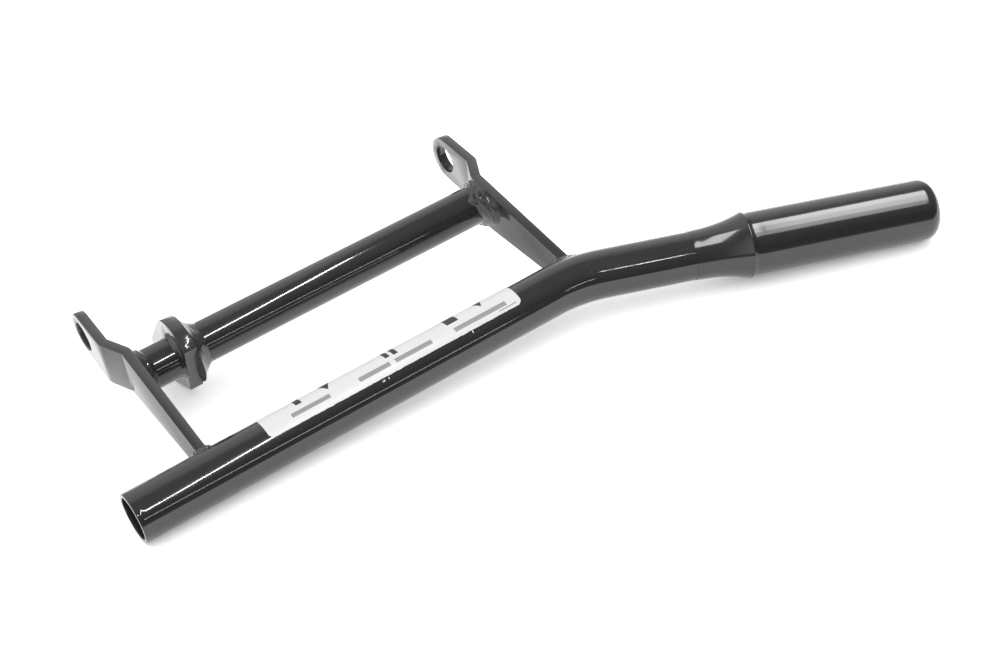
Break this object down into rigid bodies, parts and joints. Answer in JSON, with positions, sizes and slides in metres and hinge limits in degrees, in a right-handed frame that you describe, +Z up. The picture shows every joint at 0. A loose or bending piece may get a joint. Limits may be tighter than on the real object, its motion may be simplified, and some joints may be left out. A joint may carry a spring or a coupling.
{
  "type": "clutch handle",
  "caption": "Welded clutch handle for a garden machine: bent lever tube with a soft grip, two flat arms with pivot rings, a cross tube and a lug plate.",
  "frame": {"origin": "middle of the footprint of the handle as it lies on a flat surface, at the height of that surface", "axes": "+X along the lever tube from its open end toward the grip, +Y from the lever tube toward the pivot rings, +Z up"},
  "size_m": [0.433, 0.2228, 0.0537],
  "materials": {
    "black_enamel": "gloss",
    "black_vinyl": "semi-gloss",
    "white_film": "satin"
  },
  "bodies": {
    "root": {"lever_tube": "black_enamel", "hand_grip": "black_vinyl", "left_arm": "black_enamel", "right_arm": "black_enamel", "cross_tube": "black_enamel", "lug_plate": "black_enamel", "label": "white_film", "left_root_weld": "black_enamel", "right_root_weld": "black_enamel", "left_end_weld": "black_enamel", "right_end_weld": "black_enamel", "outer_lug_weld": "black_enamel", "inner_lug_weld": "black_enamel"}
  },
  "joints": []
}
